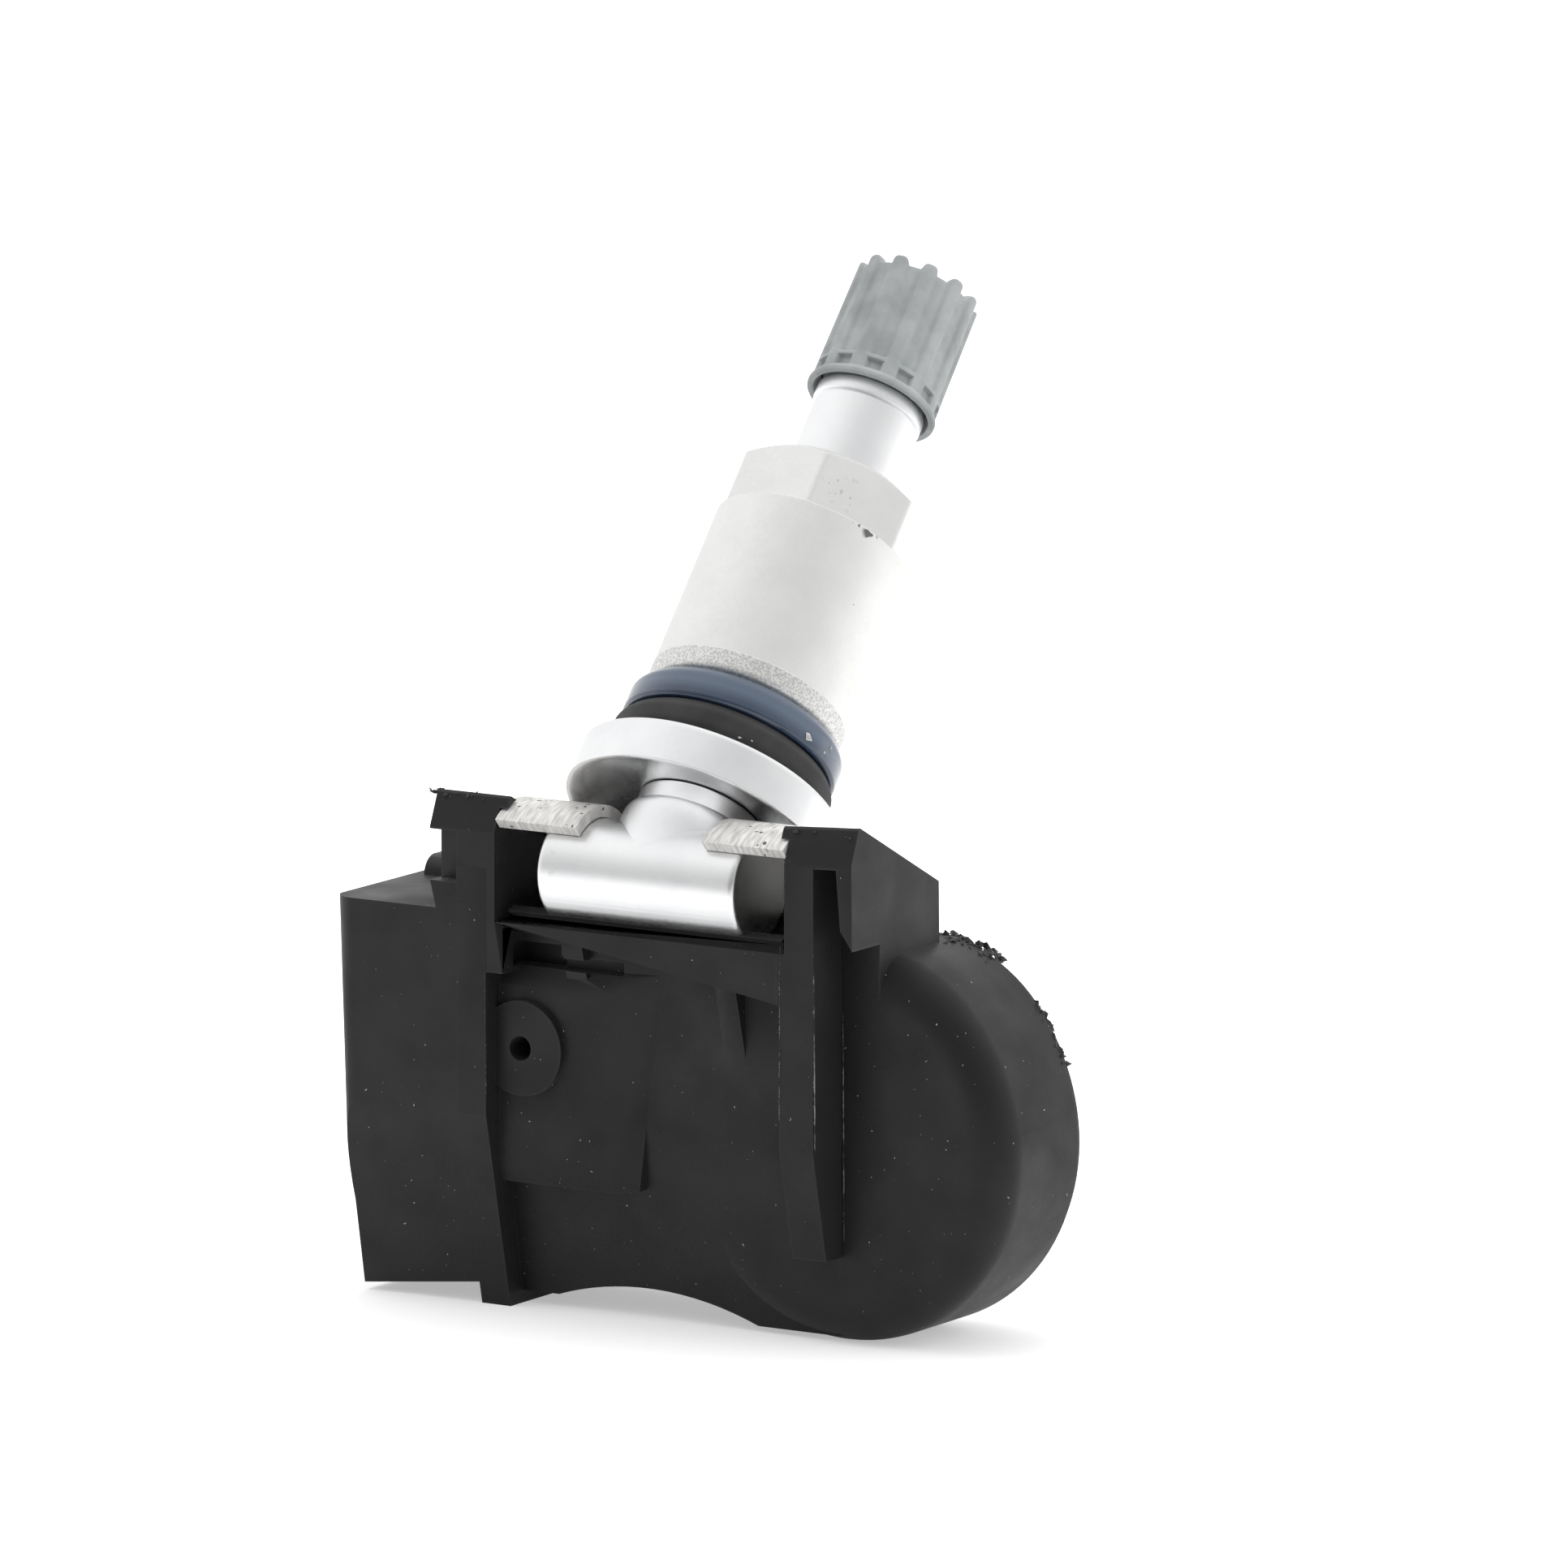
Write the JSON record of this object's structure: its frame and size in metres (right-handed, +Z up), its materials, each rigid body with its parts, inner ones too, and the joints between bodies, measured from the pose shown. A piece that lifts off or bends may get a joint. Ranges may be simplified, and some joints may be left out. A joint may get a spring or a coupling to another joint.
{
  "type": "tyre pressure sensor",
  "caption": "Clamp-in wheel pressure sensor: black moulded electronics housing with a tilting aluminium valve stem, dished washer, rubber seal, clamping nut and ribbed cap.",
  "frame": {"origin": "on the floor under the middle of the bounding box, the housing standing on its lower edge as in the picture", "axes": "+X along the cross foot of the stem towards the round battery end, -Y out of the side that lies on the rim, +Z up; the stem leans 40.5 degrees from +Z towards +Y"},
  "size_m": [0.0506, 0.0394, 0.069],
  "materials": {
    "moulded_housing": "black glass-filled nylon, lightly grained",
    "moulded_cover": "black nylon, welded on",
    "board": "green solder mask",
    "cell_steel": "stainless can",
    "cell_plastic": "moulded gasket",
    "nickel_tab": "nickel strip",
    "chip": "epoxy package",
    "silicone": "soft silicone",
    "ferrite": "sintered ferrite",
    "enamelled_wire": "enamelled copper",
    "antenna_metal": "tinned strip",
    "crystal_can": "nickel plated can",
    "ceramic": "ceramic block",
    "spring_steel": "sheared stainless spring sheet",
    "turned_aluminium": "fine turned, clear anodised",
    "nut_aluminium": "matt tumbled, anodised",
    "black_rubber": "moulded rubber",
    "brass": "turned brass",
    "red_seal": "moulded seal",
    "grey_plastic": "dark grey ribbed plastic",
    "blue_plastic": "translucent dark blue plastic"
  },
  "bodies": {
    "housing": {"housing": "moulded_housing", "back_cover": "moulded_cover", "retaining_clip": "spring_steel", "circuit_board": "board", "cell_can": "cell_steel", "cell_cap": "cell_steel", "cell_gasket": "cell_plastic", "cell_tab_plus": "nickel_tab", "cell_tab_minus": "nickel_tab", "pressure_chip": "chip", "port_seal": "silicone", "coil_core": "ferrite", "coil_winding": "enamelled_wire", "antenna": "antenna_metal", "crystal": "crystal_can", "capacitors": "ceramic"},
    "stem": {"valve_stem": "turned_aluminium", "support_washer": "turned_aluminium", "rubber_seal": "black_rubber", "core_barrel": "brass", "core_seal": "red_seal", "core_spring": "spring_steel"},
    "ring": {"blue_ring": "blue_plastic"},
    "nut": {"nut": "nut_aluminium"},
    "cap_seal": {"cap_seal": "black_rubber"},
    "cap": {"valve_cap": "grey_plastic"},
    "core_pin": {"core_pin": "brass", "core_cup": "black_rubber"}
  },
  "joints": [
    {"name": "stem_tilt", "type": "hinge", "parent": "housing", "child": "stem", "pos_m": [-0.0011, -0.01605, 0.0305], "axis": [1, 0, 0], "range_deg": [-7, 32]},
    {"name": "nut_travel", "type": "slide", "parent": "stem", "child": "ring", "axis": [0, 0.6494, 0.7604], "range_m": [0, 0.00476]},
    {"name": "nut_spin", "type": "hinge", "parent": "ring", "child": "nut", "pos_m": [-0.0011, -0.002, 0.0448], "axis": [0, 0.6494, 0.7604], "range_deg": [0, 2160]},
    {"name": "cap_travel", "type": "slide", "parent": "stem", "child": "cap_seal", "axis": [0, 0.6494, 0.7604], "range_m": [0, 0.00952]},
    {"name": "cap_spin", "type": "hinge", "parent": "cap_seal", "child": "cap", "pos_m": [-0.0011, 0.01294, 0.06229], "axis": [0, 0.6494, 0.7604], "range_deg": [0, 4320]},
    {"name": "core_press", "type": "slide", "parent": "stem", "child": "core_pin", "axis": [0, -0.6494, -0.7604], "range_m": [0, 0.0013], "stiffness_N_per_m": 400, "springref_m": -0.002, "deforming": ["core_spring"]}
  ],
  "couplings": [
    {"joint": "nut_spin", "follows": "nut_travel", "rad_per_m": 7913.3},
    {"joint": "cap_spin", "follows": "cap_travel", "rad_per_m": 7913.3}
  ]
}
